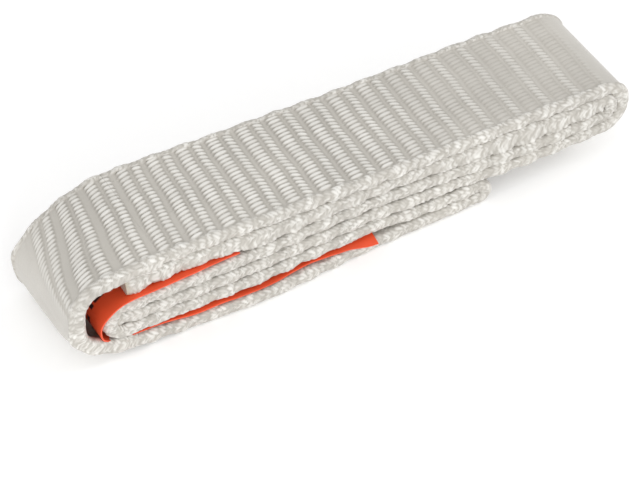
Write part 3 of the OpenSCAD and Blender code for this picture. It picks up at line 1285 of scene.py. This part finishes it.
@dataclass
class Sewing:
    """The lap's four rows of stitching and the label's tacks."""

    strap: Strap
    hand: Hand
    finish: ThreadFinish = field(default_factory=ThreadFinish)
    radius: float = 0.3
    stitch: float = 10.0
    stitch_points: int = 12
    rows: int = 4
    inset: float = 6.0
    start: float = 2.0
    stop: float = 8.0
    sink: float = 0.45
    dip: float = 1.3
    dip_sharp: float = 4.0
    ground: float = 0.55
    sides: int = 8

    def build(self) -> None:
        """Lay the seam's threads into both stretches of the lap and dress the label's tacks."""
        mat = self.finish.material()
        names = [s.name for s in self.strap.stretches]
        for name, cad in (("top_layer", "seam_thread_upper"), ("outer_lap_lower", "seam_thread_lower")):
            obj = self._seam(f"{cad}_rows", names.index(name))
            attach(obj, "upper_fold")
            dress(obj, mat, cad, "thread")
        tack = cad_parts["label_tack"]
        tack.data.materials.clear()
        tack.data.materials.append(mat)
        log.info("thread %s: %d faces", tack.name, len(tack.data.polygons))

    def _seam(self, name: str, k: int) -> Thing:
        """Every row of one seam, joined, on the outer face of a stretch."""
        lay, rows = self.strap.layout, []
        s0, s1 = self.strap.starts[k] + self.start, self.strap.starts[k + 1] - self.stop
        count = int((s1 - s0) / self.stitch)
        pitch = (s1 - s0) / count
        along = np.linspace(s0, s1, count * self.stitch_points + 1)
        phase = (along - s0) / pitch - np.floor((along - s0) / pitch)
        dip = self.dip * (1 - np.clip(np.sin(np.pi * phase) * self.dip_sharp, 0, 1))
        n = lay.thick / 2 - self.ground + self.radius - self.sink - dip
        middle = self.strap.at(along)
        side = square_to(middle)
        line = middle + n[:, None] * side
        sway = self.hand.sway(middle, along, Bow.NONE)
        for row in range(self.rows):
            v = -lay.width / 2 + self.inset + row * (lay.width - 2 * self.inset) / (self.rows - 1)
            obj, i, j = flat_grid(f"{name}_{row}", self.sides, len(along) - 1)
            a = 2 * np.pi * j / self.sides
            y = v + sway[i] + self.radius * np.cos(a)
            place(obj, line[i] + (self.radius * np.sin(a))[:, None] * side[i], y)
            close_up(obj)
            rows.append(obj)
        select_only(rows[0])
        for obj in rows[1:]:
            obj.select_set(True)
        bpy.ops.object.join()
        rows[0].name = rows[0].data.name = name
        return rows[0]


@dataclass(frozen=True)
class Studio:
    """Plain pale floor, soft lights and the camera."""

    aim: Triple = (-0.0025, 0.0, 0.020)
    turn: float = 30.81
    tilt: float = 44.83
    distance: float = 1.1569
    lens: float = 164.46
    shift: Pair = (-0.0038, -0.0906)
    floor_tone: float = 0.97
    floor_rough: float = 0.95
    floor_glow: float = 0.1
    sky: float = 0.8
    lights: tuple[tuple, ...] = (
        ("front", (-0.35, -1.15, 0.5), 0.55, 5.2),
        ("left", (-1.2, 0.1, 0.6), 0.5, 2.5),
        ("right", (1.15, -0.3, 0.7), 0.5, 4.2),
    )
    lit: Triple = (0, 0, 0.02)

    def build(self) -> None:
        """Set up the floor, the lights and the camera."""
        deselect()
        bpy.ops.mesh.primitive_plane_add(size=8.0, location=(0, 0, 0))
        floor = bpy.context.object
        floor.name = "floor"
        mat, _, shader = node_tree("floor_paper")
        shader.inputs["Base Color"].default_value = (*[self.floor_tone] * 3, 1)
        shader.inputs["Roughness"].default_value = self.floor_rough
        shader.inputs["Emission Color"].default_value = (1, 1, 1, 1)
        shader.inputs["Emission Strength"].default_value = self.floor_glow
        floor.data.materials.append(mat)
        world = bpy.data.worlds.new("studio")
        bpy.context.scene.world = world
        world.use_nodes = True
        sky = world.node_tree.nodes["Background"]
        sky.inputs["Color"].default_value = (1, 1, 1, 1)
        sky.inputs["Strength"].default_value = self.sky
        bpy.context.scene.view_settings.view_transform = "Standard"
        for light in self.lights:
            self._light(*light)
        self._camera()

    def _light(self, name: str, at: Triple, size: float, power: float) -> None:
        """One soft square light that faces the bundle."""
        data = bpy.data.lights.new(name, "AREA")
        data.size = size
        data.energy = power
        lamp = bpy.data.objects.new(name, data)
        bpy.context.scene.collection.objects.link(lamp)
        lamp.location = at
        lamp.rotation_euler = (Vector(self.lit) - Vector(at)).to_track_quat("-Z", "Y").to_euler()

    def _camera(self) -> None:
        """The camera, in front and to the left, well above the bundle."""
        a, e = math.radians(self.turn), math.radians(self.tilt)
        back = Vector((-math.sin(a) * math.cos(e), -math.cos(a) * math.cos(e), math.sin(e)))
        data = bpy.data.cameras.new("camera")
        data.sensor_width = 36.0
        data.lens = self.lens
        data.shift_x, data.shift_y = self.shift
        data.clip_start = 0.05
        cam = bpy.data.objects.new("camera", data)
        bpy.context.scene.collection.objects.link(cam)
        cam.location = Vector(self.aim) + back * self.distance
        cam.rotation_euler = (-back).to_track_quat("-Z", "Y").to_euler()
        bpy.context.scene.camera = cam


def main() -> None:
    """Build the sling, its label and sewing, and the studio around them."""
    logging.basicConfig(level=logging.INFO, format="%(name)s: %(message)s")
    Studio().build()
    strap = Strap(Layout.from_frame())
    hand = Hand(strap.layout)
    Webbing(strap, hand).build()
    Label(strap, hand).build()
    Sewing(strap, hand).build()


if __name__ == "__main__":
    main()
